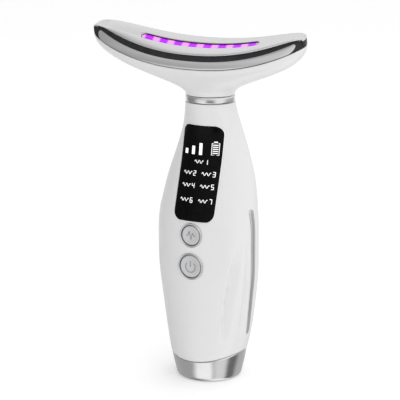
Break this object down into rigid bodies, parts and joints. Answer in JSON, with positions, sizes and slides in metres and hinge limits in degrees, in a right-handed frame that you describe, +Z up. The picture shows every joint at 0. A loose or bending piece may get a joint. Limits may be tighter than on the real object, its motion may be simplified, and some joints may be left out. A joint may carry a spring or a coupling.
{
  "type": "neck and face massager",
  "caption": "Handheld neck and face massager with a saddle-shaped heated contact head, light window, swan-neck grip, display panel, press buttons and side electrodes.",
  "frame": {"origin": "middle of the flat face that the massager stands on, under the grip", "axes": "+Z up along the grip to the head, the display and buttons face -Y, the head's long way lies along X"},
  "size_m": [0.1042, 0.0379, 0.1618],
  "materials": {
    "white_abs": "satin gloss",
    "plated_silver": "bright plated metal",
    "chrome": "polished",
    "steel": "brushed",
    "black_gloss": "gloss",
    "light_window": "translucent, tinted by the light behind it",
    "led": "clear lens",
    "button_silver": "silver satin",
    "grey_plastic": "matt",
    "board_green": "solder mask",
    "chip_black": "matt",
    "battery_blue": "shrink film",
    "heater_amber": "polyimide film",
    "rubber_grey": "matt",
    "copper": "bright",
    "cable_white": "matt"
  },
  "bodies": {
    "massager": {"base_plate": "grey_plastic", "base_screw_left": "steel", "base_screw_right": "steel", "base_seal": "rubber_grey", "battery": "battery_blue", "battery_lead": "cable_white", "boost_coil": "copper", "charging_board": "board_green", "charging_port": "steel", "charging_tongue": "chip_black", "chassis": "grey_plastic", "contact_plate": "plated_silver", "control_chip": "chip_black", "display_board": "board_green", "display_guide": "cable_white", "display_lens": "black_gloss", "end_cap": "chrome", "front_electrode": "plated_silver", "handle_shell": "white_abs", "head_insulator": "black_gloss", "head_lead": "cable_white", "head_shell": "white_abs", "heater_film": "heater_amber", "led_1": "led", "led_2": "led", "led_3": "led", "led_4": "led", "led_5": "led", "led_6": "led", "led_7": "led", "led_8": "led", "led_board": "board_green", "light_window": "light_window", "main_board": "board_green", "mode_bezel": "chrome", "mode_switch_body": "chip_black", "motor_cradle": "rubber_grey", "neck_coupler": "grey_plastic", "neck_ring": "chrome", "power_bezel": "chrome", "power_switch_body": "chip_black", "rear_electrode": "plated_silver", "side_strip_left": "steel", "side_strip_right": "steel", "strip_contact_left": "copper", "strip_contact_right": "copper", "vibration_motor": "steel"},
    "mode_button": {"mode_button": "button_silver"},
    "power_button": {"power_button": "button_silver"},
    "mode_switch_stem": {"mode_switch_stem": "grey_plastic"},
    "power_switch_stem": {"power_switch_stem": "grey_plastic"},
    "motor_rotor": {"motor_shaft": "steel", "motor_weight": "steel"}
  },
  "joints": [
    {"name": "mode_button_press", "type": "slide", "parent": "massager", "child": "mode_button", "axis": [0, 1, 0], "range_m": [0, 0.0005], "stiffness_N_per_m": 1000, "springref_m": -0.0006},
    {"name": "mode_stem_press", "type": "slide", "parent": "massager", "child": "mode_switch_stem", "axis": [0, 1, 0], "range_m": [0, 0.0005]},
    {"name": "power_button_press", "type": "slide", "parent": "massager", "child": "power_button", "axis": [0, 1, 0], "range_m": [0, 0.0005], "stiffness_N_per_m": 1000, "springref_m": -0.0006},
    {"name": "power_stem_press", "type": "slide", "parent": "massager", "child": "power_switch_stem", "axis": [0, 1, 0], "range_m": [0, 0.0005]},
    {"name": "motor_spin", "type": "hinge", "parent": "massager", "child": "motor_rotor", "pos_m": [0, -0.0055, 0.1405], "axis": [1, 0, 0], "continuous": true}
  ],
  "couplings": [
    {"joint": "mode_stem_press", "follows": "mode_button_press", "ratio": 1},
    {"joint": "power_stem_press", "follows": "power_button_press", "ratio": 1}
  ]
}
